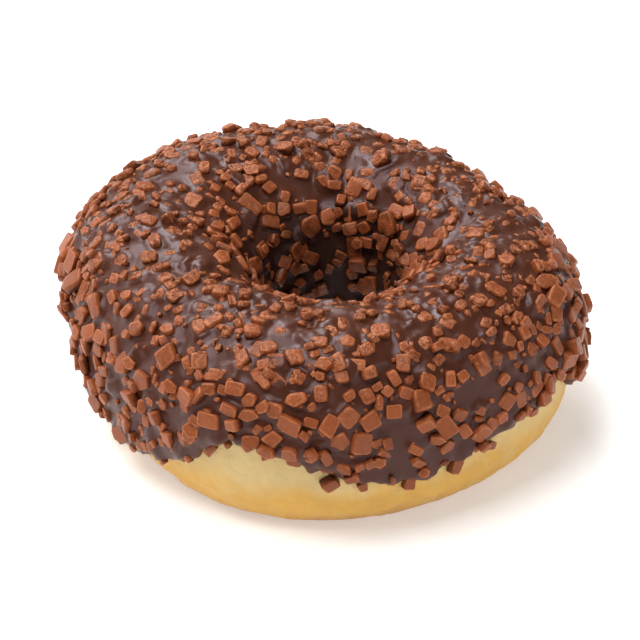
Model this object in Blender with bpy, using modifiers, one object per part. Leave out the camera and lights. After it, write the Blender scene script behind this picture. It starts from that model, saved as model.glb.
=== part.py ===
"""Ring doughnut: a fried yeast dough ring, dipped in dark chocolate icing, with chips of milk chocolate.

Units are metres and +Z is up. The origin lies under the middle of the doughnut, on the surface that
it rests on. Two angles name a place on the ring: "around" turns about the hole, from +X towards +Y,
and "over" turns about the dough, from 0 at the outside, through 90 degrees at the crown, to 180
degrees at the narrowest place of the hole and 270 degrees under the base.
"""

import math

import bmesh
import bpy
import numpy as np
from mathutils import Matrix, Vector

MM = 0.001

# Bare dough ring
RING_DIAMETER = 83.2 * MM
HOLE_DIAMETER = 28.7 * MM
BELT_HEIGHT = 15.9 * MM
CROWN_RISE = 16.2 * MM
BELLY_DROP = 17.2 * MM
# The powers that the sine and cosine of "over" are raised to, above and below the belt: under 1 is fuller
CROWN_FULLNESS, BELLY_FULLNESS = 0.92, 0.73
RING_CENTRE = (-0.7 * MM, -0.17 * MM)

# How the proved dough departs from a true ring
OVAL_SHARE, OVAL_AT = 0.0575, math.radians(-45)
LOBED_SHARE, LOBED_AT = 0.018, math.radians(1)
SQUARE_SHARE, SQUARE_AT = 0.0233, math.radians(-12)
HOLE_SHIFT = (2.65 * MM, 0.1 * MM)
LEAN_SHARE, LEAN_AT = 0.023, math.radians(-160)
# Soft lumps: waves around, waves over, phase and height
LUMPS = (
    (5, 1, 0.4, 0.28 * MM),
    (8, 2, 2.1, 0.20 * MM),
    (3, 2, 4.4, 0.26 * MM),
    (11, 1, 1.3, 0.14 * MM),
)

# Icing
ICING_GAP = 0.45 * MM
ICING_THICKNESS = 1.2 * MM
ICING_EDGE = math.radians(-1.5)
# Drips and notches of the icing's outer edge: where, how far up or down, and half-width, in degrees
EDGE_LOBES = (
    (-146, -22, 25),
    (-107, 12, 11),
    (-68, -8, 14),
    (-26, 10, 4),
    (-12, -9, 9),
    (33, 6, 14),
    (66, -13, 14),
    (101, 8, 15),
    (136, -12, 15),
    (168, 6, 12),
)
HOLE_EDGE = math.radians(212)
HOLE_EDGE_WAVE = math.radians(6)

# Milk chocolate chips
CHIP_SEED = 7
CHIP_COUNT = 740
CHIPS_FUSED = 230
CHIP_LENGTH = 2.9 * MM
CHIP_SPREAD = 0.22
CHIP_LONGEST, CHIP_SHORTEST = 4.5 * MM, 1.8 * MM
CHIP_THICKNESS = (1.3 * MM, 2.0 * MM)
CHIP_SINK = 0.75 * MM
CHIP_DEEPEST = 0.9 * MM
CHIP_TAPER = 0.9
CHIP_TILT = math.radians(11)
CHIP_CLEARANCE = 0.86
EDGE_MARGIN = math.radians(5)
THROWS = 60

# Mesh fineness
DOUGH_AROUND, DOUGH_OVER = 56, 20
ICING_AROUND, ICING_OVER = 60, 13

DOUGH_COLOUR = (0.72, 0.45, 0.15)
ICING_COLOUR = (0.055, 0.022, 0.014)
CHIP_COLOUR = (0.30, 0.105, 0.045)


def clear_scene():
    for obj in list(bpy.data.objects):
        bpy.data.objects.remove(obj, do_unlink=True)


def finish(name, colour, roughness):
    """A plain coloured material."""
    material = bpy.data.materials.new(name)
    material.use_nodes = True
    shader = material.node_tree.nodes["Principled BSDF"]
    shader.inputs["Base Color"].default_value = (*colour, 1)
    shader.inputs["Roughness"].default_value = roughness
    shader.inputs["Metallic"].default_value = 0
    return material


def collection(name):
    made = bpy.data.collections.new(name)
    bpy.context.scene.collection.children.link(made)
    return made


def lumps(around, over):
    """Height of the soft lumps, which fade out towards the flat base."""
    height = sum(
        size * np.sin(n * around + phase) * np.cos(m * over + 2 * phase)
        for n, m, phase, size in LUMPS
    )
    return height * (0.5 + 0.5 * np.sin(over)) ** 0.5


def ring_point(around, over, grow=0.0):
    """Points on the ring, as an array of x, y and z. grow moves them off the bare dough."""
    oval = OVAL_SHARE * np.cos(2 * (around - OVAL_AT))
    lobed = LOBED_SHARE * np.cos(3 * (around - LOBED_AT))
    square = SQUARE_SHARE * np.cos(4 * (around - SQUARE_AT))
    outside = RING_DIAMETER / 2 * (1 + oval + lobed + square)
    inside = HOLE_DIAMETER / 2 + HOLE_SHIFT[0] * np.cos(around) + HOLE_SHIFT[1] * np.sin(around)
    off = grow + lumps(around, over)
    half_width = (outside - inside) / 2 + off
    lean = 1 + LEAN_SHARE * np.cos(around - LEAN_AT)
    up = np.sin(over) >= 0
    fullness = np.where(up, CROWN_FULLNESS, BELLY_FULLNESS)
    half_height = np.where(up, CROWN_RISE * lean, BELLY_DROP) + off
    across = np.sign(np.cos(over)) * np.abs(np.cos(over)) ** fullness
    upward = np.sign(np.sin(over)) * np.abs(np.sin(over)) ** fullness
    radius = (outside + inside) / 2 + half_width * across
    x = RING_CENTRE[0] + radius * np.cos(around)
    y = RING_CENTRE[1] + radius * np.sin(around)
    z = np.maximum(BELT_HEIGHT + half_height * upward, 0.0)
    return np.stack(np.broadcast_arrays(x, y, z), axis=-1)


def icing_edge(around):
    """The angle over at which the icing's outer edge lies."""
    edge = np.full(np.shape(around), ICING_EDGE)
    for where, change, width in EDGE_LOBES:
        turn = np.angle(np.exp(1j * (around - math.radians(where))))
        edge = edge + math.radians(change) * np.exp(-((turn / math.radians(width)) ** 2))
    return edge


def hole_edge(around):
    """The angle over at which the icing ends inside the hole."""
    return HOLE_EDGE + HOLE_EDGE_WAVE * np.sin(3 * around + 1) * np.cos(2 * around)


def build_dough(material, into):
    bpy.ops.mesh.primitive_torus_add(
        major_segments=DOUGH_AROUND, minor_segments=DOUGH_OVER, major_radius=2, minor_radius=1
    )
    dough = bpy.context.object
    dough.name = "dough"
    for vertex in dough.data.vertices:
        x, y, z = vertex.co
        around = math.atan2(y, x)
        over = math.atan2(z, math.hypot(x, y) - 2)
        vertex.co = ring_point(around, over)
    dough.data.materials.append(material)
    for other in dough.users_collection:
        other.objects.unlink(dough)
    into.objects.link(dough)
    return dough


def build_icing(material, into):
    """The icing is a grid wrapped over the ring, thickened outwards."""
    mesh = bpy.data.meshes.new("icing")
    form = bmesh.new()
    bmesh.ops.create_grid(form, x_segments=ICING_AROUND, y_segments=ICING_OVER, size=0.5)
    for vertex in form.verts:
        around = 2 * math.pi * vertex.co.x
        low, high = icing_edge(around), hole_edge(around)
        over = low + (high - low) * (vertex.co.y + 0.5)
        vertex.co = ring_point(around, over, ICING_GAP)
    bmesh.ops.remove_doubles(form, verts=form.verts, dist=0.01 * MM)
    form.to_mesh(mesh)
    form.free()
    mesh.materials.append(material)
    icing = bpy.data.objects.new("icing", mesh)
    into.objects.link(icing)
    shell = icing.modifiers.new("thickness", "SOLIDIFY")
    shell.thickness = ICING_THICKNESS
    shell.offset = 1
    return icing


def icing_frame(around, over):
    """A matrix at a place on the icing: X along around, Y along over and Z straight out."""
    grow = ICING_GAP + ICING_THICKNESS
    step = 0.01
    here = ring_point(around, over, grow)
    along = ring_point(around + step, over, grow) - ring_point(around - step, over, grow)
    across = ring_point(around, over + step, grow) - ring_point(around, over - step, grow)
    x_axis = Vector(along).normalized()
    z_axis = x_axis.cross(Vector(across)).normalized()
    y_axis = z_axis.cross(x_axis)
    frame = Matrix((x_axis, y_axis, z_axis)).transposed().to_4x4()
    frame.translation = Vector(here)
    return frame


def scatter_chips():
    """Throws the chips on the icing, the longest first, and keeps each one that lies clear enough of
    those before it. A chip is its frame, length, width, thickness, spin, two tilts and corners."""
    rng = np.random.default_rng(CHIP_SEED)
    lengths = CHIP_LENGTH * np.exp(CHIP_SPREAD * rng.standard_normal(CHIP_COUNT))
    lengths = np.sort(np.clip(lengths, CHIP_SHORTEST, CHIP_LONGEST))[::-1]
    places = np.empty((0, 3))
    reaches = np.empty(0)
    chips = []
    for length in lengths:
        width = length * rng.uniform(0.62, 0.98)
        reach = CHIP_CLEARANCE * (length + width) / 4
        for _ in range(THROWS):
            around = rng.uniform(-math.pi, math.pi)
            low, high = icing_edge(around) + EDGE_MARGIN, hole_edge(around) - 2 * EDGE_MARGIN
            over = rng.uniform(low, high)
            place = ring_point(around, over, ICING_GAP + ICING_THICKNESS)
            radius = math.hypot(place[0] - RING_CENTRE[0], place[1] - RING_CENTRE[1])
            if rng.random() > radius / (RING_DIAMETER / 2):
                continue
            if np.all(np.linalg.norm(places - place, axis=1) > reaches + reach):
                break
        else:
            continue
        places = np.vstack([places, place])
        reaches = np.append(reaches, reach)
        chips.append(
            {
                "frame": icing_frame(around, over),
                "length": length,
                "width": width,
                "thickness": rng.uniform(*CHIP_THICKNESS),
                "spin": rng.uniform(0, 2 * math.pi),
                "tilt": rng.normal(0, CHIP_TILT, 2),
                "sides": int(rng.choice((4, 4, 4, 4, 5))),
                "corners": rng.uniform(-0.16, 0.16, (6, 2)),
            }
        )
    return chips


def build_chip(number, chip, material, into):
    """A chip is a low prism with four or five uneven corners, sunk in the icing."""
    form = bmesh.new()
    sides = chip["sides"]
    turn = Matrix.Rotation(math.pi / sides, 3, "Z")
    bmesh.ops.create_cone(
        form, segments=sides, radius1=1, radius2=CHIP_TAPER, depth=1, cap_ends=True
    )
    square = math.sqrt(2) if sides == 4 else 1.2
    for vertex in form.verts:
        corner = round(math.atan2(vertex.co.y, vertex.co.x) / (2 * math.pi / sides)) % sides
        flat = turn @ vertex.co
        x, y = np.array(flat.xy) * square / 2 + chip["corners"][corner] / 2
        vertex.co = (x * chip["length"], y * chip["width"], flat.z * chip["thickness"])
    tilt = Matrix.Rotation(chip["tilt"][0], 4, "X") @ Matrix.Rotation(chip["tilt"][1], 4, "Y")
    spin = Matrix.Rotation(chip["spin"], 4, "Z")
    bmesh.ops.transform(form, matrix=tilt @ spin, verts=form.verts)
    lowest = min(vertex.co.z for vertex in form.verts)
    lift = max(chip["thickness"] / 2 - CHIP_SINK, -lowest - CHIP_DEEPEST)
    bmesh.ops.transform(
        form, matrix=chip["frame"] @ Matrix.Translation((0, 0, lift)), verts=form.verts
    )
    bmesh.ops.recalc_face_normals(form, faces=form.faces)
    mesh = bpy.data.meshes.new(f"chip_{number}")
    form.to_mesh(mesh)
    form.free()
    mesh.materials.append(material)
    into.objects.link(bpy.data.objects.new(mesh.name, mesh))


def apply_modifiers(obj):
    graph = bpy.context.evaluated_depsgraph_get()
    mesh = bpy.data.meshes.new_from_object(obj.evaluated_get(graph), depsgraph=graph)
    obj.modifiers.clear()
    obj.data = mesh


def keep_largest_shell(obj):
    """Drops the walls of any hollow that the union has sealed, and any loose scrap."""
    form = bmesh.new()
    form.from_mesh(obj.data)
    left = set(form.verts)
    shells = []
    while left:
        shell, edge = set(), [left.pop()]
        while edge:
            vertex = edge.pop()
            shell.add(vertex)
            near = {e.other_vert(vertex) for e in vertex.link_edges} & left
            left -= near
            edge.extend(near)
        shells.append(shell)
    shells.sort(key=len)
    for shell in shells[:-1]:
        bmesh.ops.delete(form, geom=list(shell), context="VERTS")
    form.to_mesh(obj.data)
    form.free()


def fuse(obj, pieces):
    """Joins every object of the collection to obj in one union, then removes the collection."""
    union = obj.modifiers.new("fused chips", "BOOLEAN")
    union.operation = "UNION"
    union.operand_type = "COLLECTION"
    union.collection = pieces
    union.solver = "MANIFOLD"
    apply_modifiers(obj)
    for piece in list(pieces.objects):
        bpy.data.objects.remove(piece, do_unlink=True)
    bpy.data.collections.remove(pieces)
    keep_largest_shell(obj)


def main():
    clear_scene()
    doughnut = collection("doughnut")
    chips = collection("chips")
    build_dough(finish("dough", DOUGH_COLOUR, 0.6), doughnut)
    icing = build_icing(finish("icing", ICING_COLOUR, 0.35), doughnut)
    chip_finish = finish("chips", CHIP_COLOUR, 0.5)
    for number, chip in enumerate(scatter_chips()[:CHIPS_FUSED]):
        build_chip(number, chip, chip_finish, chips)
    fuse(icing, chips)


main()
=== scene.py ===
"""Looks of a ring doughnut: fried crust, dark chocolate icing, chips of milk chocolate and crumbs.

Units are metres and +Z is up. Two angles name a place on the ring: "around" turns about the hole,
from +X towards +Y, and "over" turns about the dough, from 0 at the outside, through 90 degrees at
the crown, to 180 degrees at the narrowest place of the hole and 270 degrees under the base.
"""

import math

import bpy
import numpy as np
from bpy.props import FloatProperty, FloatVectorProperty, IntProperty, PointerProperty
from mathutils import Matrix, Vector


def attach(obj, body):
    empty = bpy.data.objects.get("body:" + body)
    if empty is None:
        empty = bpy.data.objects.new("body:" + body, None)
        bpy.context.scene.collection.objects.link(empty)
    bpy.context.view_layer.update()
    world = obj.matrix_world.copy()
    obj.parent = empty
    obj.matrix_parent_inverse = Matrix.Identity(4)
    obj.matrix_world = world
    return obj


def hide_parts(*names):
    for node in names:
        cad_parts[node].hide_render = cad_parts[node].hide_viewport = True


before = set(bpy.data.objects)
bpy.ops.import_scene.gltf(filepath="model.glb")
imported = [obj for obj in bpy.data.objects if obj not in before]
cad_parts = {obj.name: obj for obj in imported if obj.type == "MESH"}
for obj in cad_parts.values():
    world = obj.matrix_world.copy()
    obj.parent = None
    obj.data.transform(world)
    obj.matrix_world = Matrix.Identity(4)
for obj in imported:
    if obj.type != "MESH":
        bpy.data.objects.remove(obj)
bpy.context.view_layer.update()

bl_info = {
    "name": "Ring doughnut with chocolate chips",
    "version": (1, 0, 0),
    "blender": (4, 5, 0),
    "location": "View3D > Sidebar > Doughnut",
    "description": "Makes a ring doughnut's crust, icing, chocolate chips and crumbs, and its stage",
    "category": "Add Mesh",
}

MM = 0.001

# The dough ring, as in the solids
RING_DIAMETER = 83.2 * MM
HOLE_DIAMETER = 28.7 * MM
BELT_HEIGHT = 15.9 * MM
CROWN_RISE = 16.2 * MM
BELLY_DROP = 17.2 * MM
# The powers of the sine and cosine of "over", above and below the belt: under 1 is fuller
CROWN_FULLNESS, BELLY_FULLNESS = 0.92, 0.73
RING_CENTRE = (-0.7 * MM, -0.17 * MM)
OVAL_SHARE, OVAL_AT = 0.0575, math.radians(-45)
LOBED_SHARE, LOBED_AT = 0.018, math.radians(1)
SQUARE_SHARE, SQUARE_AT = 0.0233, math.radians(-12)
HOLE_SHIFT = (2.65 * MM, 0.1 * MM)
HOLE_AXIS = (RING_CENTRE[0] + HOLE_SHIFT[0], RING_CENTRE[1] + HOLE_SHIFT[1], 0.0)
LEAN_SHARE, LEAN_AT = 0.023, math.radians(-160)
# Soft lumps: waves around, waves over, phase and height
LUMPS = (
    (5, 1, 0.4, 0.28 * MM),
    (8, 2, 2.1, 0.20 * MM),
    (3, 2, 4.4, 0.26 * MM),
    (11, 1, 1.3, 0.14 * MM),
)
# About the radius of the dough's cross-section, which turns a length over the dough into an angle
DOUGH_ROUND = 15.5 * MM
# The height by which the base's edge is eased on to the floor
BASE_EASE = 0.35 * MM
# Sets of ripples, here and below: share of the height, length of the waves and seed
WRINKLES = ((0.6, 6 * MM, 11), (0.4, 2.4 * MM, 12))

# The icing, as in the solids
ICING_GAP = 0.45 * MM
ICING_THICKNESS = 1.2 * MM
ICING_TOP = ICING_GAP + ICING_THICKNESS
ICING_EDGE = math.radians(-1.5)
# Drips and notches of the icing's outer edge: where, how far up or down, and half-width, in degrees
EDGE_LOBES = (
    (-146, -22, 25),
    (-107, 12, 11),
    (-68, -8, 14),
    (-26, 10, 4),
    (-12, -9, 9),
    (33, 6, 14),
    (66, -13, 14),
    (101, 8, 15),
    (136, -12, 15),
    (168, 6, 12),
)
HOLE_EDGE = math.radians(212)
HOLE_EDGE_WAVE = math.radians(6)
# Small scallops of the edge, whose shares are angles
SCALLOPS = ((math.radians(1.3), 5 * MM, 21), (math.radians(0.8), 2.4 * MM, 24))
# Slow waves of the icing
SWELLS = ((0.7, 10 * MM, 22), (0.35, 4.5 * MM, 23))
# How far from its edge the icing is rounded, and how much thinner it is there and over what length
LIP_WIDTH = 0.95 * MM
THINNED_SHARE, THINNED_LENGTH = 0.25, 3 * MM
# How deep the icing's edge and its back lie in the dough
ICING_SINK = 0.3 * MM
# Chips drowned in the icing: their length, as a share, their rise and the width of its slope
DROWNED_LENGTHS = (0.6, 1.1)
DROWNED_RISE = (0.35 * MM, 0.8 * MM)
DROWNED_WIDTH = 0.5 * MM
# How much the climb differs from chip to chip, and how fast it falls off over its width
CLIMB_SHARES = (0.3, 1.4)
CLIMB_FALL = 1.6

# The chips' layout, as in the solids, which hold the longest CHIPS_FUSED of them
CHIP_SEED = 7
CHIP_COUNT = 740
CHIPS_FUSED = 230
CHIP_LENGTH = 2.9 * MM
CHIP_SPREAD = 0.22
CHIP_LONGEST, CHIP_SHORTEST = 4.5 * MM, 1.8 * MM
CHIP_THICKNESS = (1.3 * MM, 2.0 * MM)
CHIP_SINK = 0.75 * MM
# The chips that aren't fused are sunk by a share of that, between these two
LOOSE_SINK = (0.7, 1.7)
CHIP_DEEPEST = 0.9 * MM
CHIP_TAPER = 0.9
CHIP_TILT = math.radians(11)
CHIP_CLEARANCE = 0.86
EDGE_MARGIN = math.radians(5)
THROWS = 60
# Chips melt most at one angle over, and sink as they melt
MELT_AT, MELT_WIDTH = math.radians(88), math.radians(36)
MELT_SINK = 0.45 * MM
# The share of its length and width that a melted chip loses
MELT_SHRINK = 0.2
# Chips' edges and what melting adds: radius as a share of the rounding, share of a side that a corner
# cuts off, and unevenness as a share of the size. Then the slant of the top
EDGE_RADIUS, MELTED_RADIUS = (0.5, 1.5), 1.1
CORNER_CUT, MELTED_CUT = (0.11, 0.24), 0.1
UNEVENNESS, MELTED_UNEVENNESS = 0.014, 0.026
TOP_SLANT = 0.06
# Leaning chips: mean length, as a share, and its spread; how far they lie from the other chip, as
# shares of its length and of theirs; the sine of their slope, as a share of its height over their
# length, and the greatest; how deep the low end is sunk; how much icing film and painted shade darken
# the foot
LEANING_LENGTH, LEANING_SPREAD = 0.88, 0.2
LEANING_AWAY = (0.42, 0.22)
LEANING_SLOPE, STEEPEST_SLOPE = 0.75, 0.6
LEANING_SINK = 0.45 * MM
LEANING_FOOT_FILM_AND_SHADE = 0.25
# Standing chips: how steep they are, and how high their middle is, as a share of their length
STANDING_STEEP = (math.radians(50), math.radians(85))
STANDING_LIFT = 0.22
# Hanging chips: where they lie from the icing's edge, the angle below which they reach down to the
# dough, and how deep they are sunk in the icing, or in the dough
HANGING_PLACES = (math.radians(-3.5), math.radians(5))
HANGING_OFF = math.radians(2)
HANGING_SINK = (1.0 * MM, 1.4 * MM)
DOUGH_SINK = 0.1 * MM
# Small chips: their length, as a share, the room between them and the others, and its loss by warmth
SMALL_LENGTHS = (0.45, 0.9)
SMALL_ROOM = 1.0 * MM
WARM_LOSS = 0.4
# Crumbs: mean length, its spread, the reach from a chip and the radius of their edges
CRUMB_LENGTH, CRUMB_SPREAD = 1.05 * MM, 0.3
CRUMB_REACH = 2.2 * MM
CRUMB_ROUNDING = 0.16 * MM
# For chips with four and five sides: where the first corner lies, and how far out the corners are
FIRST_CORNER = {4: math.radians(45), 5: math.radians(54)}
CORNER_REACH = {4: math.sqrt(2) / 2, 5: 0.6}

# The air holes in the icing are the few cell middles of a 3-D pattern that fall on its surface
AIR_HOLE_SPACING = 3.4 * MM
# The painted glints on the melted chips: bright flecks that stand for highlights
PAINTED_GLINT_COLOUR = (0.52, 0.21, 0.108)
# Tints of the highlights on the icing and the chips
ICING_SHEEN = (0.95, 0.86, 0.96, 1.0)
CHIP_SHEEN = (1.0, 0.79, 0.64, 1.0)
# Depths over which painted shade darkens the hole's wall, from inside its radius to outside it
HOLE_SHADE = (-2 * MM, 3.5 * MM)

# Grids
CRUST_AROUND, CRUST_OVER = 440, 150
ICING_AROUND, ICING_OVER, ICING_BACK = 560, 142, 11
# Rows of the icing's rounded lip, by how far they lie from its edge
LIP_ROWS = np.array((0.0, 0.04, 0.12, 0.25, 0.42, 0.62, 0.85)) * MM

# The stage. The softboxes: name, place, side in metres and power in watts
SOFTBOXES = (
    ("back softbox", (-0.35, 0.7, 0.75), 0.6, 8),
    ("bright lamp", (-0.35, 0.45, 0.8), 0.1, 2),
    ("top softbox", (-0.3, -0.15, 1.0), 0.6, 9.4),
    ("front softbox", (0.8, -0.65, 0.25), 0.8, 3),
    ("left softbox", (-1.0, 0.3, 0.35), 0.7, 3),
)
WORLD_STRENGTH = 0.25
FLOOR_HALF = 2.0
CAMERA_RANGE = (0.01, 20)


class CrustSettings(bpy.types.PropertyGroup):
    relief: FloatProperty(
        name="Wrinkles",
        description="Height of the crust's soft wrinkles",
        default=0.16 * MM,
        unit="LENGTH",
        precision=5,
    )
    waist_colour: FloatVectorProperty(
        name="Waist",
        description="Colour of the pale waist, which fried least",
        default=(0.60, 0.427, 0.178),
        size=3,
        subtype="COLOR",
    )
    golden_colour: FloatVectorProperty(
        name="Golden crust",
        description="Colour of the fried side",
        default=(0.60, 0.334, 0.062),
        size=3,
        subtype="COLOR",
    )
    base_colour: FloatVectorProperty(
        name="Base",
        description="Colour of the base, which fried most",
        default=(0.50, 0.26, 0.066),
        size=3,
        subtype="COLOR",
    )


class IcingSettings(bpy.types.PropertyGroup):
    swell: FloatProperty(
        name="Swell",
        description="Height of the slow waves in the icing",
        default=0.3 * MM,
        unit="LENGTH",
        precision=5,
    )
    climb: FloatProperty(
        name="Climb",
        description="How far the icing climbs up the sides of a chip",
        default=0.45 * MM,
        unit="LENGTH",
        precision=5,
    )
    climb_width: FloatProperty(
        name="Climb width",
        description="How far from a chip the icing starts to climb",
        default=0.6 * MM,
        unit="LENGTH",
        precision=5,
    )
    drowned: IntProperty(
        name="Drowned chips",
        description="Chips that lie under the icing and show as lumps",
        default=90,
        min=0,
    )
    colour: FloatVectorProperty(
        name="Icing",
        description="Colour of the dark chocolate",
        default=(0.064, 0.0172, 0.0066),
        size=3,
        subtype="COLOR",
    )
    roughness: FloatProperty(
        name="Roughness",
        description="Roughness of the icing's satin skin",
        default=0.42,
        min=0,
        max=1,
        subtype="FACTOR",
    )


class ChipSettings(bpy.types.PropertyGroup):
    rounding: FloatProperty(
        name="Rounding",
        description="Mean radius of a chip's rounded edges",
        default=0.2 * MM,
        unit="LENGTH",
        precision=5,
    )
    leaning: IntProperty(
        name="Leaning chips",
        description="Chips that lie with one edge on another chip",
        default=230,
        min=0,
    )
    standing: IntProperty(
        name="Standing chips",
        description="Chips that stand on edge in the icing",
        default=16,
        min=0,
    )
    hanging: IntProperty(
        name="Hanging chips",
        description="Chips on the icing's lower edge",
        default=84,
        min=0,
    )
    small: IntProperty(
        name="Small chips",
        description="Small chips in the gaps between the others",
        default=390,
        min=0,
    )
    crumbs: IntProperty(
        name="Crumbs",
        description="Crumbs of chocolate between the chips",
        default=760,
        min=0,
    )
    colour: FloatVectorProperty(
        name="Milk chocolate",
        description="Colour of the chips",
        default=(0.232, 0.055, 0.0155),
        size=3,
        subtype="COLOR",
    )
    # Colour of the painted highlight on the chips' rounded edges
    edge_highlight_colour: FloatVectorProperty(
        name="Edges",
        description="Colour of the chips' rubbed edges",
        default=(0.38, 0.118, 0.042),
        size=3,
        subtype="COLOR",
    )


class StageSettings(bpy.types.PropertyGroup):
    elevation: FloatProperty(
        name="Elevation",
        description="Height of the camera above the horizon, as an angle",
        default=math.radians(35),
        subtype="ANGLE",
    )
    distance: FloatProperty(
        name="Distance",
        description="From the camera to the place that it looks at",
        default=0.5,
        unit="LENGTH",
    )
    lens: FloatProperty(
        name="Focal length",
        description="Focal length of the camera, on a sensor 36 mm wide",
        default=163.8,
        subtype="DISTANCE_CAMERA",
    )
    aim: FloatVectorProperty(
        name="Aim",
        description="The place that the camera looks at",
        default=(-0.13 * MM, -0.67 * MM, 15.27 * MM),
        size=3,
        subtype="XYZ",
        unit="LENGTH",
        precision=5,
    )
    floor_colour: FloatVectorProperty(
        name="Floor",
        description="Colour of the floor",
        default=(0.9, 0.9, 0.9),
        size=3,
        subtype="COLOR",
    )
    floor_glow: FloatProperty(
        name="Floor glow",
        description="Light that shines up through the floor, as through a light table",
        default=0.36,
        min=0,
    )


class DoughnutSettings(bpy.types.PropertyGroup):
    crust: PointerProperty(type=CrustSettings)
    icing: PointerProperty(type=IcingSettings)
    chips: PointerProperty(type=ChipSettings)
    stage: PointerProperty(type=StageSettings)


# Form of the ring


def lumps(around, over):
    """Height of the soft lumps: a sum of sine waves around times cosine waves over, which fades out
    towards the flat base."""
    height = sum(
        size * np.sin(n * around + phase) * np.cos(m * over + 2 * phase)
        for n, m, phase, size in LUMPS
    )
    return height * (0.5 + 0.5 * np.sin(over)) ** 0.5


def ring_point(around, over, grow=0.0):
    """Points on the ring, as an array of x, y and z. grow moves them off the bare dough.

    The distance from the ring's middle is the mean of the outside and hole radii plus the half width
    times the cosine of over, and the height is the belt's plus the half height times its sine, both
    raised to a power. The outside radius is a circle's plus waves of two, three and four periods, and
    the hole is off centre."""
    oval = OVAL_SHARE * np.cos(2 * (around - OVAL_AT))
    lobed = LOBED_SHARE * np.cos(3 * (around - LOBED_AT))
    square = SQUARE_SHARE * np.cos(4 * (around - SQUARE_AT))
    outside = RING_DIAMETER / 2 * (1 + oval + lobed + square)
    inside = HOLE_DIAMETER / 2 + HOLE_SHIFT[0] * np.cos(around) + HOLE_SHIFT[1] * np.sin(around)
    off = grow + lumps(around, over)
    half_width = (outside - inside) / 2 + off
    lean = 1 + LEAN_SHARE * np.cos(around - LEAN_AT)
    up = np.sin(over) >= 0
    fullness = np.where(up, CROWN_FULLNESS, BELLY_FULLNESS)
    half_height = np.where(up, CROWN_RISE * lean, BELLY_DROP) + off
    across = np.sign(np.cos(over)) * np.abs(np.cos(over)) ** fullness
    upward = np.sign(np.sin(over)) * np.abs(np.sin(over)) ** fullness
    radius = (outside + inside) / 2 + half_width * across
    x = RING_CENTRE[0] + radius * np.cos(around)
    y = RING_CENTRE[1] + radius * np.sin(around)
    z = BELT_HEIGHT + half_height * upward
    return np.stack(np.broadcast_arrays(x, y, z), axis=-1)


def icing_edge(around):
    """The angle over at which the icing's outer edge lies: a level edge plus one bell curve for each
    drip or notch."""
    edge = np.full(np.shape(around), ICING_EDGE)
    for where, change, width in EDGE_LOBES:
        turn = np.angle(np.exp(1j * (around - math.radians(where))))
        edge = edge + math.radians(change) * np.exp(-((turn / math.radians(width)) ** 2))
    return edge


def hole_edge(around):
    """The angle over at which the icing ends inside the hole."""
    return HOLE_EDGE + HOLE_EDGE_WAVE * np.sin(3 * around + 1) * np.cos(2 * around)


def icing_axes(around, over):
    """Places on the icing and their axes, as columns: X along around, Y along over, Z straight out.
    They come from the differences of points a small angle either way."""
    grow = ICING_TOP
    step = 0.01
    here = ring_point(around, over, grow)
    along = ring_point(around + step, over, grow) - ring_point(around - step, over, grow)
    across = ring_point(around, over + step, grow) - ring_point(around, over - step, grow)
    x_axis = along / np.linalg.norm(along, axis=-1, keepdims=True)
    z_axis = np.cross(x_axis, across)
    z_axis = z_axis / np.linalg.norm(z_axis, axis=-1, keepdims=True)
    return here, np.stack((x_axis, np.cross(z_axis, x_axis), z_axis), axis=-1)


def ripples(points, length, seed, waves=24):
    """Smooth unevenness, mostly between -1 and 1: a sum of sine waves of one length that run in
    random directions through space."""
    rng = np.random.default_rng(seed)
    ways = rng.standard_normal((waves, 3))
    ways *= 2 * math.pi / length / np.linalg.norm(ways, axis=1, keepdims=True)
    phases = rng.uniform(0, 2 * math.pi, waves)
    total = sum(np.sin(points @ way + phase) for way, phase in zip(ways, phases))
    return total / math.sqrt(2 * waves)


def rippled(points, sets):
    """The sum of several sets of ripples, each by its share."""
    return sum(share * ripples(points, length, seed) for share, length, seed in sets)


# Layout of the chips


def scatter_chips():
    """Throws the chips on the icing, the longest first, and keeps each one that lies clear enough of
    those before it, as the solids do."""
    rng = np.random.default_rng(CHIP_SEED)
    lengths = CHIP_LENGTH * np.exp(CHIP_SPREAD * rng.standard_normal(CHIP_COUNT))
    lengths = np.sort(np.clip(lengths, CHIP_SHORTEST, CHIP_LONGEST))[::-1]
    places = np.empty((0, 3))
    reaches = np.empty(0)
    chips = []
    for length in lengths:
        width = length * rng.uniform(0.62, 0.98)
        reach = CHIP_CLEARANCE * (length + width) / 4
        for _ in range(THROWS):
            around = rng.uniform(-math.pi, math.pi)
            low, high = icing_edge(around) + EDGE_MARGIN, hole_edge(around) - 2 * EDGE_MARGIN
            over = rng.uniform(low, high)
            place = ring_point(around, over, ICING_TOP)
            radius = math.hypot(place[0] - RING_CENTRE[0], place[1] - RING_CENTRE[1])
            if rng.random() > radius / (RING_DIAMETER / 2):
                continue
            if np.all(np.linalg.norm(places - place, axis=1) > reaches + reach):
                break
        else:
            continue
        places = np.vstack([places, place])
        reaches = np.append(reaches, reach)
        thickness = rng.uniform(*CHIP_THICKNESS)
        spin = rng.uniform(0, 2 * math.pi)
        tilt = rng.normal(0, CHIP_TILT, 2)
        sides = int(rng.choice((4, 4, 4, 4, 5)))
        corners = rng.uniform(-0.16, 0.16, (6, 2))
        chips.append((around, over, length, width, thickness, spin, *tilt, sides, corners))
    return chips


def turned(axis, angle):
    """Rotation matrices about an axis, one for each angle."""
    c, s = np.cos(angle), np.sin(angle)
    zero, one = np.zeros_like(c), np.ones_like(c)
    rows = {
        "X": ((one, zero, zero), (zero, c, -s), (zero, s, c)),
        "Y": ((c, zero, s), (zero, one, zero), (-s, zero, c)),
        "Z": ((c, -s, zero), (s, c, zero), (zero, zero, one)),
    }
    return np.moveaxis(np.array(rows[axis]), -1, 0)


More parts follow.
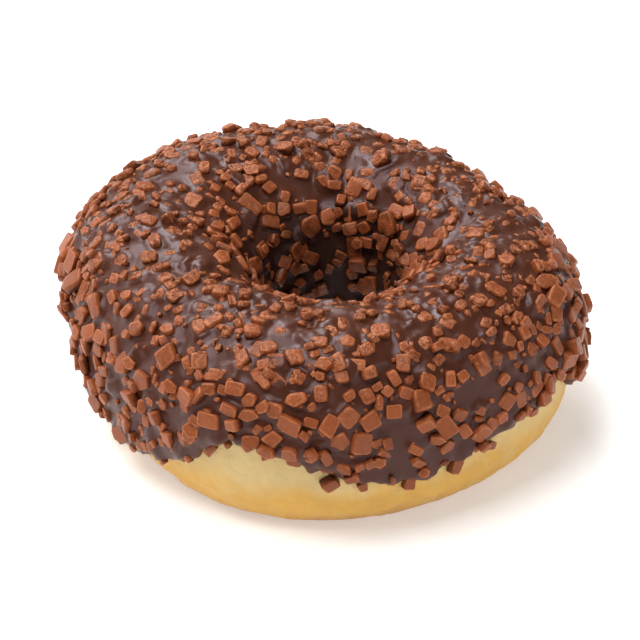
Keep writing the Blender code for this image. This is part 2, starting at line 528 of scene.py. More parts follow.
def outline_corners(lot, pick, scale):
    """Corners of chips with the same number of sides, in fractions of their length and width: each
    lies on a circle, at equal angles, and is moved by the chip's own unevenness."""
    sides = int(lot["sides"][pick][0])
    angle = FIRST_CORNER[sides] + 2 * math.pi / sides * np.arange(sides)
    even = CORNER_REACH[sides] * np.stack((np.cos(angle), np.sin(angle)), axis=-1)
    return even * scale + lot["corners"][pick][:, :sides] / 2


def warmth(over):
    """How much the chips melt in the warm icing, from 0 to 1: most near the crown, as a bell."""
    return np.exp(-(((over - MELT_AT) / MELT_WIDTH) ** 2))


def melted(rng, over):
    """How far each chip has melted, from 0 to 1."""
    return np.clip(warmth(over) * rng.uniform(0.4, 1.3, len(over)), 0, 1)


def lowest_corners(lot):
    """How far each chip's lowest corner lies above its middle, out from the dough."""
    lowest = np.empty(len(lot["sides"]))
    for sides in FIRST_CORNER:
        pick = lot["sides"] == sides
        heights = []
        for level, scale in ((-0.5, 1.0), (0.5, CHIP_TAPER)):
            flat = outline_corners(lot, pick, scale) * lot["size"][pick, None, :2]
            tall = np.broadcast_to(level * lot["size"][pick, None, 2:], (*flat.shape[:2], 1))
            corners = np.concatenate((flat, tall), axis=-1)
            heights.append(np.einsum("nj,nkj->nk", lot["turn"][pick, 2], corners))
        lowest[pick] = np.concatenate(heights, axis=1).min(axis=1)
    return lowest


def chip_lot(rng, around, over, size, tilt, spin, sides, corners):
    """Chips as arrays: their places, axes, turns, sizes and corners, how far they have melted, and how
    much of their foot is darkened by icing film and painted shade."""
    places, axes = icing_axes(around, over)
    return {
        "place": places,
        "axes": axes,
        "around": around,
        "over": over,
        "turn": turned("X", tilt[0]) @ turned("Y", tilt[1]) @ turned("Z", spin),
        "size": np.stack(size, axis=-1),
        "sides": sides,
        "corners": corners,
        "melt": melted(rng, over),
        "sunk": np.ones(len(around)),
    }


def main_lot(rng):
    """The chips of the shared layout."""
    columns = [np.array(column) for column in zip(*scatter_chips())]
    around, over, length, width, thickness, spin, *tilt, sides, corners = columns
    lot = chip_lot(rng, around, over, (length, width, thickness), tilt, spin, sides, corners)
    fused = np.arange(len(around)) < CHIPS_FUSED
    sink = np.where(fused, CHIP_SINK, CHIP_SINK * rng.uniform(*LOOSE_SINK, len(around)))
    highest = np.maximum(thickness / 2 - sink, -lowest_corners(lot) - CHIP_DEEPEST)
    lot["lift"] = highest - MELT_SINK * lot["melt"]
    return lot


def new_lot(rng, around, over, length, slim=(0.55, 0.95), flat=(0.4, 0.62)):
    """Chips at given places, lying flat. Their width and thickness are random shares of their length."""
    count = len(around)
    width = length * rng.uniform(*slim, count)
    thickness = length * rng.uniform(*flat, count)
    tilt = rng.normal(0, CHIP_TILT, (2, count))
    spin = rng.uniform(0, 2 * math.pi, count)
    sides = rng.choice((4, 4, 5), count)
    corners = rng.uniform(-0.2, 0.2, (count, 6, 2))
    lift = thickness * rng.uniform(0.0, 0.3, count)
    lot = chip_lot(rng, around, over, (length, width, thickness), tilt, spin, sides, corners)
    lot["lift"] = lift
    return lot


def loose_band(around):
    """The angles over between which loose chips lie."""
    return icing_edge(around) + EDGE_MARGIN / 2, hole_edge(around) - EDGE_MARGIN


def thrown(rng, count):
    """Random places on the icing, even over its area."""
    around = rng.uniform(-math.pi, math.pi, 4 * count)
    low, high = loose_band(around)
    over = low + (high - low) * rng.uniform(0, 1, 4 * count)
    places = ring_point(around, over, ICING_TOP)
    radius = np.hypot(places[:, 0] - RING_CENTRE[0], places[:, 1] - RING_CENTRE[1])
    kept = np.nonzero(rng.random(4 * count) < radius / (RING_DIAMETER / 2))[0][:count]
    return around[kept], over[kept]


def leaning_lot(rng, lot, count):
    """Chips that lean on a chip of the layout: their middle lies just outside its side, and their low
    end is in the icing."""
    under = rng.choice(len(lot["around"]), count, replace=False)
    length = LEANING_LENGTH * CHIP_LENGTH * np.exp(LEANING_SPREAD * rng.standard_normal(count))
    way = rng.uniform(0, 2 * math.pi, count)
    away = LEANING_AWAY[0] * lot["size"][under, 0] + LEANING_AWAY[1] * length
    radius = np.hypot(*(lot["place"][under, :2] - RING_CENTRE).T)
    around = lot["around"][under] + away * np.cos(way) / radius
    over = lot["over"][under] + away * np.sin(way) / DOUGH_ROUND
    over = np.clip(over, *loose_band(around))
    leaning = new_lot(rng, around, over, length)
    top = lot["lift"][under] + lot["size"][under, 2] / 2
    slope = np.arcsin(np.clip(LEANING_SLOPE * top / length, 0, STEEPEST_SLOPE))
    spin = turned("Z", rng.normal(0, 0.5, count) - way)
    leaning["turn"] = turned("Z", way) @ turned("Y", slope) @ spin
    leaning["lift"] = -lowest_corners(leaning) - LEANING_SINK
    leaning["sunk"] = np.full(count, LEANING_FOOT_FILM_AND_SHADE)
    return leaning


def standing_lot(rng, count):
    """Chips that stand on edge, with less than half of their length in the icing."""
    around, over = thrown(rng, count)
    lot = new_lot(rng, around, over, CHIP_LENGTH * rng.uniform(0.8, 1.25, count))
    steep = rng.uniform(*STANDING_STEEP, count)
    lot["turn"] = turned("Z", rng.uniform(0, 2 * math.pi, count)) @ turned("Y", steep)
    lot["lift"] = lot["size"][:, 0] * STANDING_LIFT
    lot["sunk"] = np.zeros(len(around))
    return lot


def hanging_lot(rng, count):
    """Chips on the icing's lower edge. Those that lie off its edge reach down to the bare dough."""
    around = np.linspace(-math.pi, math.pi, count, endpoint=False) + rng.uniform(-0.06, 0.06, count)
    over = icing_edge(around) + rng.uniform(*HANGING_PLACES, count)
    lot = new_lot(rng, around, over, CHIP_LENGTH * rng.uniform(0.5, 1.1, count))
    off = over < icing_edge(around) + HANGING_OFF
    sink = np.where(off, ICING_TOP + DOUGH_SINK, rng.uniform(*HANGING_SINK, count))
    lot["lift"] = lot["size"][:, 2] / 2 - sink
    return lot


def nearest_chip(lot, places):
    """How far each place is from the middle of the chip that is nearest to it."""
    return np.array([np.linalg.norm(lot["place"] - place, axis=1).min() for place in places])


def gap_lot(rng, lot, count):
    """Small chips in the gaps of the layout: those of many thrown ones that lie clear of it. On the
    warm crown they lie closer to the others."""
    around, over = thrown(rng, 5 * count)
    places = ring_point(around, over, ICING_TOP)
    length = CHIP_LENGTH * rng.uniform(*SMALL_LENGTHS, len(around))
    room = 0.5 * length + SMALL_ROOM
    clear = nearest_chip(lot, places) > room * (1 - WARM_LOSS * warmth(over))
    kept = np.nonzero(clear)[0][:count]
    small = new_lot(rng, around[kept], over[kept], length[kept])
    small["lift"] = small["size"][:, 2] * rng.uniform(0.05, 0.4, len(kept))
    return small


def crumb_lot(rng, lot, count):
    """Crumbs, more of them close to a chip than far from one."""
    around, over = thrown(rng, 3 * count)
    places = ring_point(around, over, ICING_TOP)
    close = np.exp(-nearest_chip(lot, places) / CRUMB_REACH)
    kept = np.nonzero(rng.random(len(close)) < close)[0][:count]
    length = CRUMB_LENGTH * np.exp(CRUMB_SPREAD * rng.standard_normal(len(kept)))
    crumbs = new_lot(rng, around[kept], over[kept], length, (0.5, 1.0), (0.5, 0.9))
    crumbs["lift"] = crumbs["size"][:, 2] * rng.uniform(0.1, 0.45, len(kept))
    return crumbs


def joined_lots(lots):
    """Several lots of chips as one."""
    return {key: np.concatenate([lot[key] for lot in lots]) for key in lots[0]}


def all_chips(settings):
    """Every whole chip, and the seeded source of what is drawn after them."""
    rng = np.random.default_rng(CHIP_SEED + 1)
    lot = main_lot(rng)
    leaning = leaning_lot(rng, lot, settings.leaning)
    standing = standing_lot(rng, settings.standing)
    hanging = hanging_lot(rng, settings.hanging)
    small = gap_lot(rng, lot, settings.small)
    return joined_lots([lot, leaning, standing, hanging, small]), rng


# Surfaces


def crust_grid(settings):
    """The dough's surface: the ring, pushed out by two sets of wrinkles and rested on the floor, where
    its height is eased to zero by a parabola."""
    around = np.linspace(-math.pi, math.pi, CRUST_AROUND, endpoint=False)[:, None]
    over = np.linspace(0, 2 * math.pi, CRUST_OVER, endpoint=False)[None, :]
    bare = ring_point(around, over)
    points = ring_point(around, over, settings.relief * rippled(bare, WRINKLES))
    height = points[..., 2]
    eased = np.where(height < -BASE_EASE, 0.0, (height + BASE_EASE) ** 2 / (4 * BASE_EASE))
    points[..., 2] = np.where(height > BASE_EASE, height, eased)
    return points


def climbs(points, lot, height, width, bell):
    """How far the icing rises at each point of its surface because of the chips. Each chip is a
    rounded oblong. Inside it the rise is the full height, and outside it falls off with the distance,
    as a bell or with a sharp foot. Rises are added as a root of the sum of cubes."""
    rise = np.zeros(points.shape[:-1])
    chips = zip(lot["place"], lot["axes"], lot["turn"], lot["size"], height)
    for place, axes, turn, size, tall in chips:
        reach = size[0] * 0.75 + 3 * width
        away = points - place
        near = np.nonzero(np.einsum("...i,...i", away, away) < reach**2)
        local = away[near] @ axes @ turn
        halves = size[:2] / 2
        across = np.sum((np.abs(local[:, :2]) / halves) ** 4, axis=-1) ** 0.25
        clear = np.maximum(across - 1, 0) * halves.min() / width
        fall = np.exp(-(clear**2)) if bell else np.exp(-CLIMB_FALL * clear)
        rise[near] = np.cbrt(rise[near] ** 3 + (tall * fall) ** 3)
    return rise


def icing_grid(settings, lot, drowned, rng):
    """The icing's surface, front and back, and how far it has climbed at each point. Its rows run over
    the dough from the lower edge to the hole, then back along the dough. Its height off the dough
    rises from the edge as a quarter of an ellipse, is a little less near the edge, and carries slow
    waves, climbs at the chips and drowned chips."""
    around = np.linspace(-math.pi, math.pi, ICING_AROUND, endpoint=False)[:, None]
    low, high = icing_edge(around), hole_edge(around)
    edge_line = ring_point(around, low, ICING_TOP)
    low = low + rippled(edge_line, SCALLOPS)
    first = low + LIP_ROWS / DOUGH_ROUND
    last = high - LIP_ROWS[::-1] / DOUGH_ROUND
    share = np.linspace(0, 1, ICING_OVER + 2)[1:-1]
    middle = first[:, -1:] + (last[:, :1] - first[:, -1:]) * share
    over = np.concatenate((first, middle, last), axis=1)
    from_edge = np.minimum(over - low, high - over) * DOUGH_ROUND
    rounded = np.sqrt(1 - (1 - np.clip(from_edge / LIP_WIDTH, 0, 1)) ** 2)
    thin = THINNED_SHARE * ICING_THICKNESS * np.exp(-from_edge / THINNED_LENGTH)
    flat = ring_point(around, over, ICING_TOP)
    swell = settings.swell * rippled(flat, SWELLS)
    climbed = settings.climb * rng.uniform(*CLIMB_SHARES, len(lot["place"]))
    climb = climbs(flat, lot, climbed, settings.climb_width, bell=False)
    rises = rng.uniform(*DROWNED_RISE, len(drowned["place"]))
    lump = climbs(flat, drowned, rises, DROWNED_WIDTH, bell=True)
    height = (ICING_TOP - thin + swell + climb + lump + ICING_SINK) * rounded - ICING_SINK
    front = ring_point(around, over, height)
    back_share = np.linspace(1, 0, ICING_BACK + 2)[1:-1]
    back = ring_point(around, low + (high - low) * back_share, -ICING_SINK)
    mark = np.clip(climb / settings.climb, 0, 1) * rounded
    marks = np.concatenate((mark, np.zeros(back.shape[:2])), axis=1)
    return np.concatenate((front, back), axis=1), marks


def rounded_outline(corners, rounding):
    """Outlines with each corner cut to three points: one before it, one after it, and between them
    the middle of the parabola that the two sides touch. rounding is the share of a side that is cut."""
    before, after = np.roll(corners, 1, axis=1), np.roll(corners, -1, axis=1)
    first = corners + (before - corners) * rounding
    last = corners + (after - corners) * rounding
    middle = (first + 2 * corners + last) / 4
    return np.stack((first, middle, last), axis=2).reshape(len(corners), -1, 2)


def chip_shells(lot, rounding, rng):
    """The surfaces of many chips: points, faces, and marks on each point. The marks are the chip's
    tone, how near to an edge or to the foot the point is, and the chip's melt. A chip is a stack of
    five like outlines: the foot, the top of the sides, the middle and the end of the rounded edge, and
    a small crown, closed by a face at each end."""
    points, faces, tones, rims, feet, melts = [], [], [], [], [], []
    start = 0
    for sides in FIRST_CORNER:
        pick = lot["sides"] == sides
        count = int(pick.sum())
        melt = lot["melt"][pick]
        shrunk = 1 - MELT_SHRINK * melt
        size = lot["size"][pick] * np.stack((shrunk, shrunk, np.ones(count)), axis=-1)
        soft = rounding * rng.uniform(*EDGE_RADIUS, count) * (1 + MELTED_RADIUS * melt)
        soft = np.clip(soft, 0, size[:, 2] * 0.36)
        shares = (soft / size[:, 1] * 2)[:, None, None]
        cut = (rng.uniform(*CORNER_CUT, count) + MELTED_CUT * melt)[:, None, None]
        top = size[:, 2] / 2
        stack = (
            (-top, 0.94, 0),
            (top - soft, 1, 0),
            (top - 0.3 * soft, 1, 0.3),
            (top, 1, 1),
            (top + 0.15 * soft, 0.76, 1),
        )
        rings = []
        for height, scale, inset in stack:
            share = height[:, None, None] / size[:, None, 2:] + 0.5
            corners = outline_corners(lot, pick, 1 + (CHIP_TAPER - 1) * share)
            flat = rounded_outline(corners, cut) * scale * (1 - inset * shares)
            flat = flat * size[:, None, :2]
            tall = np.broadcast_to(height[:, None, None], (*flat.shape[:2], 1))
            rings.append(np.concatenate((flat, tall), axis=-1))
        shell = np.stack(rings, axis=1)
        uneven = rng.normal(0, 1, shell.shape) * size[:, None, None, :]
        uneven *= (UNEVENNESS + MELTED_UNEVENNESS * melt)[:, None, None, None]
        slant = rng.normal(0, TOP_SLANT, (count, 2))
        shell[..., 2] += np.einsum("nrpi,ni->nrp", shell[..., :2], slant)
        shell += uneven * np.array((0.6, 0.6, 1.0))
        placed = np.einsum("nij,nrpj->nrpi", lot["turn"][pick], shell)
        placed[..., 2] += lot["lift"][pick, None, None]
        placed = np.einsum("nij,nrpj->nrpi", lot["axes"][pick], placed) + lot["place"][pick, None, None]
        across = 3 * sides
        rims.append(np.tile(np.repeat((0, 0.3, 1, 0.9, 0), across), count))
        feet.append(np.outer(lot["sunk"][pick], np.repeat((1, 0, 0, 0, 0), across)).ravel())
        first = start + np.arange(count)[:, None] * len(stack) * across
        side = np.arange(across)
        for level in range(len(stack) - 1):
            low, high = level * across, (level + 1) * across
            quad = np.stack(
                (low + side, low + np.roll(side, -1), high + np.roll(side, -1), high + side), axis=-1
            )
            faces += (first[:, :, None] + quad[None]).reshape(-1, 4).tolist()
        faces += (first + side[::-1]).tolist()
        faces += (first + (len(stack) - 1) * across + side).tolist()
        points.append(placed.reshape(-1, 3))
        each = len(stack) * across
        tones.append(np.repeat(rng.normal(0, 1, count), each))
        melts.append(np.repeat(melt, each))
        start += count * each
    marks = {"tone": tones, "rim": rims, "foot": feet, "melt": melts}
    return np.concatenate(points), faces, {key: np.concatenate(parts) for key, parts in marks.items()}


# Meshes


def shown(name, mesh, material):
    """Adds a finished mesh to the scene as a piece on the body, with its material."""
    mesh.materials.append(material)
    mesh.polygons.foreach_set("use_smooth", np.ones(len(mesh.polygons), dtype=bool))
    piece = bpy.data.objects.new(name, mesh)
    bpy.context.scene.collection.objects.link(piece)
    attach(piece, "root")
    return piece


def grid_mesh(name, grid):
    """A closed mesh of a grid of points whose first and last rows meet, both ways."""
    rows, columns = grid.shape[:2]
    number = np.arange(rows * columns).reshape(rows, columns)
    right, up = np.roll(number, -1, axis=0), np.roll(number, -1, axis=1)
    faces = np.stack((number, right, np.roll(right, -1, axis=1), up), axis=-1).reshape(-1, 4)
    mesh = bpy.data.meshes.new(name)
    mesh.vertices.add(rows * columns)
    mesh.vertices.foreach_set("co", grid.astype(np.float32).ravel())
    mesh.loops.add(faces.size)
    mesh.loops.foreach_set("vertex_index", faces.astype(np.int32).ravel())
    mesh.polygons.add(len(faces))
    mesh.polygons.foreach_set("loop_start", np.arange(0, faces.size, 4, dtype=np.int32))
    mesh.update(calc_edges=True)
    mesh.validate()
    return mesh


def add_marks(mesh, marks):
    """Adds an attribute for each mark on a mesh's points."""
    for key, values in marks.items():
        mark = mesh.attributes.new(key, "FLOAT", "POINT")
        mark.data.foreach_set("value", values.astype(np.float32).ravel())


def shell_mesh(name, points, faces, marks):
    """A mesh of many closed shells, with marks on its points."""
    mesh = bpy.data.meshes.new(name)
    mesh.from_pydata(points.tolist(), [], faces)
    add_marks(mesh, marks)
    mesh.validate()
    return mesh


# Materials


class Wire:
    """A node's output. Arithmetic on it adds Math nodes to its material."""

    def __init__(self, finish, socket):
        self.finish = finish
        self.socket = socket

    def maths(self, operation, first, second):
        return self.finish.node("ShaderNodeMath", {"operation": operation}, {0: first, 1: second})

    def __add__(self, other):
        return self.maths("ADD", self, other)

    def __radd__(self, other):
        return self.maths("ADD", other, self)

    def __sub__(self, other):
        return self.maths("SUBTRACT", self, other)

    def __rsub__(self, other):
        return self.maths("SUBTRACT", other, self)

    def __mul__(self, other):
        return self.maths("MULTIPLY", self, other)

    def __rmul__(self, other):
        return self.maths("MULTIPLY", other, self)


class Finish:
    """A material that is put together node by node."""

    def __init__(self, name):
        self.material = bpy.data.materials.new(name)
        self.material.use_nodes = True
        self.tree = self.material.node_tree
        self.shader = self.tree.nodes["Principled BSDF"]

    def node(self, kind, settings=None, sockets=None, output=0):
        """Adds a node, sets its settings and then its sockets, and gives one of its outputs."""
        made = self.tree.nodes.new(kind)
        for key, value in (settings or {}).items():
            setattr(made, key, value)
        for key, value in (sockets or {}).items():
            self.feed(made.inputs[key], value)
        return Wire(self, made.outputs[output])

    def feed(self, socket, value):
        """Links a wire to a socket, or sets the socket to a value."""
        if isinstance(value, Wire):
            self.tree.links.new(value.socket, socket)
        elif socket.type == "RGBA" and len(value) == 3:
            socket.default_value = (*value, 1.0)
        else:
            socket.default_value = value

    def set(self, **values):
        """Sets sockets of the shader. An underscore in a name stands for a space."""
        for key, value in values.items():
            self.feed(self.shader.inputs[key.replace("_", " ")], value)

    def place(self):
        """The point's own place in the object, in metres."""
        return self.node("ShaderNodeTexCoord", output="Object")

    def noise(self, size, detail=2.0, roughness=0.5, seed=0.0):
        """Noise between about 0 and 1, whose blotches are of the given size."""
        sockets = {"Vector": self.place(), "W": seed, "Scale": 1 / size}
        sockets.update({"Detail": detail, "Roughness": roughness})
        return self.node("ShaderNodeTexNoise", {"noise_dimensions": "4D"}, sockets)

    def mark(self, name):
        """A value that the mesh holds for each point."""
        return self.node("ShaderNodeAttribute", {"attribute_name": name}, output="Fac")

    def ramped(self, value, low, high):
        """0 below low, 1 above high and a smooth step between them."""
        sockets = {"Value": value, "From Min": low, "From Max": high}
        return self.node("ShaderNodeMapRange", {"interpolation_type": "SMOOTHSTEP"}, sockets)

    def in_hole(self):
        """1 deep in the hole, 0 outside it, by the distance from the hole's axis. It sets where shade is
        painted in the hole, and where the icing's gloss is duller.
        """
        flattened = {0: self.place(), 1: (1, 1, 0)}
        level = self.node("ShaderNodeVectorMath", {"operation": "MULTIPLY"}, flattened)
        off = self.node("ShaderNodeVectorMath", {"operation": "DISTANCE"}, {0: level, 1: HOLE_AXIS}, 1)
        inner, outer = HOLE_SHADE
        return 1 - self.ramped(off, HOLE_DIAMETER / 2 + inner, HOLE_DIAMETER / 2 + outer)

    def cells(self, spacing):
        """The distance from the middle of the nearest cell of a 3-D pattern, over the cells' spacing."""
        sockets = {"Vector": self.place(), "Scale": 1 / spacing}
        return self.node("ShaderNodeTexVoronoi", {"feature": "F1"}, sockets)

    def blend(self, share, first, second):
        """Mixes two colours. A share of 0 is the first, and of 1 the second."""
        return self.node("ShaderNodeMix", {"data_type": "RGBA"}, {0: share, 6: first, 7: second}, 2)

    def shaded(self, colour, value):
        """A colour times a number."""
        settings = {"operation": "SCALE"}
        return self.node("ShaderNodeVectorMath", settings, {0: colour, "Scale": value})

    def bump(self, height, depth, under=None):
        """A normal for a height between 0 and 1 that stands for the given depth in metres."""
        sockets = {"Strength": 1.0, "Distance": depth, "Height": height}
        if under:
            sockets["Normal"] = under
        return self.node("ShaderNodeBump", {}, sockets)


def crust_finish(settings):
    """Fried crust: brown base, golden side, pale waist under the icing, with mottles, freckles and
    fine pores."""
    finish = Finish("fried_crust")
    height = finish.node("ShaderNodeSeparateXYZ", {}, {0: finish.place()}, "Z")
    wander = (finish.noise(9 * MM, 4, 0.6) - 0.5) * (13 * MM)
    level = height + wander
    golden = finish.ramped(level, 0.2 * MM, 4.5 * MM)
    waist = finish.ramped(level, 7 * MM, 14 * MM)
    colour = finish.blend(golden, tuple(settings.base_colour), tuple(settings.golden_colour))
    colour = finish.blend(waist, colour, tuple(settings.waist_colour))
    mottle = finish.noise(3.2 * MM, 5, 0.62, 3.0)
    colour = finish.shaded(colour, 0.8 + 0.4 * mottle)
    pale = finish.ramped(finish.noise(5 * MM, 4, 0.6, 8.0), 0.5, 0.72)
    colour = finish.blend(0.5 * pale, colour, tuple(settings.waist_colour))
    freckles = finish.ramped(finish.noise(0.9 * MM, 2, 0.5, 5.0), 0.62, 0.8)
    colour = finish.blend(0.16 * freckles, colour, tuple(settings.base_colour))
    skin = finish.bump(finish.noise(1.6 * MM, 5, 0.62, 7.0), 0.3 * MM)
    pored = finish.bump(finish.ramped(finish.cells(0.9 * MM), 0.05, 0.3), 0.05 * MM, skin)
    finish.set(
        Base_Color=colour,
        Roughness=0.5 + 0.2 * mottle,
        Specular_IOR_Level=0.35,
        Normal=pored,
    )
    return finish.material


def icing_finish(settings):
    """Dark chocolate icing: a satin skin, a little uneven in colour and gloss, with a few air holes
    darkened by painted shade, and painted shade deep in the hole.
    """
    finish = Finish("dark_chocolate_icing")
    cloud = finish.noise(7 * MM, 3, 0.5, 1.0)
    hole = finish.in_hole()
    # Painted shade: the icing darkens deep in the hole.
    colour = finish.shaded(tuple(settings.colour), 0.8 + 0.4 * cloud - 0.6 * hole)
    solid = finish.ramped(finish.cells(AIR_HOLE_SPACING), 0.02, 0.055)
    # Painted shade: the air holes are darkened in colour as well as dented.
    colour = finish.shaded(colour, 0.25 + 0.75 * solid)
    fine = finish.noise(1.4 * MM, 3, 0.5, 2.0)
    skin = finish.bump(solid, 0.12 * MM)
    climb = finish.mark("climb")
    finish.set(
        Base_Color=colour,
        Roughness=settings.roughness - 0.08 + 0.16 * cloud - 0.12 * climb + 0.2 * hole,
        Specular_IOR_Level=0.27,
        Specular_Tint=ICING_SHEEN,
        Normal=finish.bump(fine, 0.07 * MM, skin),
    )
    return finish.material


def chip_finish(settings, icing_colour, name):
    """Milk chocolate: each chip has its own tone, its rounded edges carry a painted highlight and its
    faces are pitted.
    The melted ones are grainy, with light and dark speckles and bright flecks that are painted glints
    and shade. Icing colour covers their feet and those in the hole: partly a real film of icing, partly
    painted shade at the foot and deep in the hole."""
    finish = Finish(name)
    tone = finish.mark("tone")
    rim = finish.mark("rim")
    foot = finish.mark("foot")
    melt = finish.mark("melt")
    cloud = finish.noise(1.2 * MM, 3, 0.6, 4.0)
    grain = finish.noise(0.75 * MM, 4, 0.6, 6.0)
    # On melted chips the grain paints light and dark speckles that stand for glints and shade in
    # crevices; elsewhere it is a faint real tone.
    grain_and_painted_speckles = (grain - 0.5) * (0.3 + 3.2 * melt)
    colour = finish.shaded(tuple(settings.colour), 0.84 + 0.09 * tone + 0.32 * cloud + grain_and_painted_speckles)
    # Painted highlight: the rounded edges are lightened towards the edge colour, unevenly by the cloud
    # noise.
    highlit = finish.ramped(rim, 0.35, 1.0) * finish.ramped(cloud + 0.05 * tone, 0.35, 0.62)
    # Painted glints: bright flecks on the melted chips.
    painted_glints = melt * finish.ramped(grain, 0.52, 0.62)
    colour = finish.blend(0.8 * highlit, colour, tuple(settings.edge_highlight_colour))
    colour = finish.blend(0.7 * painted_glints, colour, PAINTED_GLINT_COLOUR)
    film = finish.noise(1.6 * MM, 3, 0.55, 9.0)
    # Icing colour on the chips: a real film of icing on melted chips and in patches, plus painted
    # contact shade at the foot and painted shade deep in the hole.
    film_and_shade = finish.ramped(foot + 0.2 * melt + 0.5 * finish.in_hole() + 1.2 * (film - 0.5), 0.3, 0.7)
    colour = finish.blend(0.8 * film_and_shade, colour, icing_colour)
    rough = finish.bump(grain * (0.3 + 2.6 * melt), 0.22 * MM)
    pitted = finish.bump(finish.ramped(finish.cells(0.75 * MM), 0.1, 0.35), 0.05 * MM, rough)
    finish.set(
        Base_Color=colour,
        Roughness=0.48 - 0.12 * film_and_shade - 0.24 * melt,
        Specular_IOR_Level=0.35,
        Specular_Tint=CHIP_SHEEN,
        Normal=pitted,
    )
    return finish.material


# Operators


class DOUGHNUT_OT_crust(bpy.types.Operator):
    """Make the fried crust of the dough ring"""

    bl_idname = "doughnut.crust"
    bl_label = "Crust"
    bl_options = {"REGISTER", "UNDO"}

    def execute(self, context):
        settings = context.scene.doughnut.crust
        mesh = grid_mesh("crust", crust_grid(settings))
        crust = shown("crust", mesh, crust_finish(settings))
        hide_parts("dough")
        return {"FINISHED"}


class DOUGHNUT_OT_icing(bpy.types.Operator):
    """Make the icing, which climbs round the chips"""

    bl_idname = "doughnut.icing"
    bl_label = "Icing"
    bl_options = {"REGISTER", "UNDO"}

    def execute(self, context):
        settings = context.scene.doughnut
        lot, rng = all_chips(settings.chips)
        around, over = thrown(rng, settings.icing.drowned)
        length = CHIP_LENGTH * rng.uniform(*DROWNED_LENGTHS, len(around))
        drowned = new_lot(rng, around, over, length)
        grid, climbed = icing_grid(settings.icing, lot, drowned, rng)
        mesh = grid_mesh("icing_coat", grid)
        add_marks(mesh, {"climb": climbed})
        icing = shown("icing_coat", mesh, icing_finish(settings.icing))
        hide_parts("icing")
        return {"FINISHED"}


class DOUGHNUT_OT_chips(bpy.types.Operator):
    """Make the chips of milk chocolate"""

    bl_idname = "doughnut.chips"
    bl_label = "Chips"
    bl_options = {"REGISTER", "UNDO"}

    def execute(self, context):
        settings = context.scene.doughnut
        lot, rng = all_chips(settings.chips)
        material = chip_finish(settings.chips, tuple(settings.icing.colour), "milk_chocolate")
        mesh = shell_mesh("chips", *chip_shells(lot, settings.chips.rounding, rng))
        shown("chips", mesh, material)
        return {"FINISHED"}


class DOUGHNUT_OT_crumbs(bpy.types.Operator):
    """Make the crumbs between the chips"""

    bl_idname = "doughnut.crumbs"
    bl_label = "Crumbs"
    bl_options = {"REGISTER", "UNDO"}

    def execute(self, context):
        settings = context.scene.doughnut
        lot, rng = all_chips(settings.chips)
        crumbs = crumb_lot(rng, lot, settings.chips.crumbs)
        material = chip_finish(settings.chips, tuple(settings.icing.colour), "chocolate_crumbs")
        mesh = shell_mesh("crumbs", *chip_shells(crumbs, CRUMB_ROUNDING, rng))
        shown("crumbs", mesh, material)
        return {"FINISHED"}


def softbox(name, place, aim, size, power):
    """A square area light that points at a place."""
    data = bpy.data.lights.new(name, "AREA")
    data.size = size
    data.energy = power
    light = bpy.data.objects.new(name, data)
    light.location = place
    light.rotation_mode = "QUATERNION"
    light.rotation_quaternion = (Vector(aim) - Vector(place)).to_track_quat("-Z", "Y")
    bpy.context.scene.collection.objects.link(light)


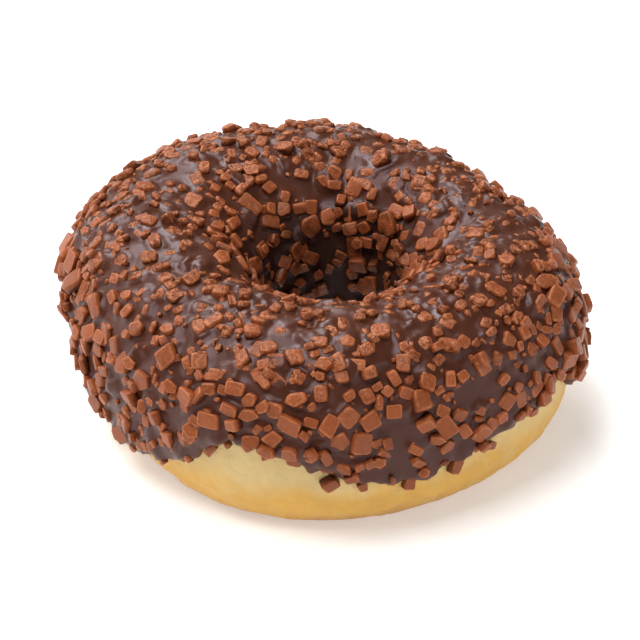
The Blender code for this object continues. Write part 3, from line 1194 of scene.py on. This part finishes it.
class DOUGHNUT_OT_stage(bpy.types.Operator):
    """Make the pale floor, the soft light and the camera"""

    bl_idname = "doughnut.stage"
    bl_label = "Stage"
    bl_options = {"REGISTER", "UNDO"}

    def execute(self, context):
        settings = context.scene.doughnut.stage
        corners = [(FLOOR_HALF * x, FLOOR_HALF * y, 0) for x, y in ((-1, -1), (1, -1), (1, 1), (-1, 1))]
        mesh = bpy.data.meshes.new("floor")
        mesh.from_pydata(corners, [], [(0, 1, 2, 3)])
        finish = Finish("floor")
        colour = tuple(settings.floor_colour)
        finish.set(Base_Color=colour, Roughness=0.9, Specular_IOR_Level=0.0)
        finish.set(Emission_Color=colour, Emission_Strength=settings.floor_glow)
        mesh.materials.append(finish.material)
        floor = bpy.data.objects.new("floor", mesh)
        context.scene.collection.objects.link(floor)
        aim = Vector(settings.aim)
        for name, place, size, power in SOFTBOXES:
            softbox(name, place, aim, size, power)
        world = bpy.data.worlds.new("studio")
        world.use_nodes = True
        sky = world.node_tree.nodes["Background"].inputs
        sky["Color"].default_value = (1, 1, 1, 1)
        sky["Strength"].default_value = WORLD_STRENGTH
        context.scene.world = world
        context.scene.view_settings.view_transform = "Standard"
        data = bpy.data.cameras.new("camera")
        data.lens = settings.lens
        data.clip_start, data.clip_end = CAMERA_RANGE
        camera = bpy.data.objects.new("camera", data)
        rise = settings.elevation
        back = Vector((0, -math.cos(rise), math.sin(rise)))
        camera.location = aim + back * settings.distance
        camera.rotation_mode = "QUATERNION"
        camera.rotation_quaternion = (-back).to_track_quat("-Z", "Y")
        context.scene.collection.objects.link(camera)
        context.scene.camera = camera
        return {"FINISHED"}


class DOUGHNUT_PT_panel(bpy.types.Panel):
    """The doughnut's settings and the buttons that make it"""

    bl_idname = "DOUGHNUT_PT_panel"
    bl_label = "Ring doughnut"
    bl_space_type = "VIEW_3D"
    bl_region_type = "UI"
    bl_category = "Doughnut"

    def draw(self, context):
        settings = context.scene.doughnut
        for name in DoughnutSettings.__annotations__:
            group = getattr(settings, name)
            box = self.layout.box()
            for key in type(group).__annotations__:
                box.prop(group, key)
            box.operator(f"doughnut.{name}")
        self.layout.operator("doughnut.crumbs")


CLASSES = (
    CrustSettings,
    IcingSettings,
    ChipSettings,
    StageSettings,
    DoughnutSettings,
    DOUGHNUT_OT_crust,
    DOUGHNUT_OT_icing,
    DOUGHNUT_OT_chips,
    DOUGHNUT_OT_crumbs,
    DOUGHNUT_OT_stage,
    DOUGHNUT_PT_panel,
)


def register():
    for each in CLASSES:
        bpy.utils.register_class(each)
    bpy.types.Scene.doughnut = PointerProperty(type=DoughnutSettings)


def unregister():
    del bpy.types.Scene.doughnut
    for each in reversed(CLASSES):
        bpy.utils.unregister_class(each)


def write_sizes():
    """Updates the view layer."""
    bpy.context.view_layer.update()


def main():
    register()
    bpy.ops.doughnut.crust()
    bpy.ops.doughnut.icing()
    bpy.ops.doughnut.chips()
    bpy.ops.doughnut.crumbs()
    bpy.ops.doughnut.stage()
    write_sizes()


if __name__ == "__main__":
    main()
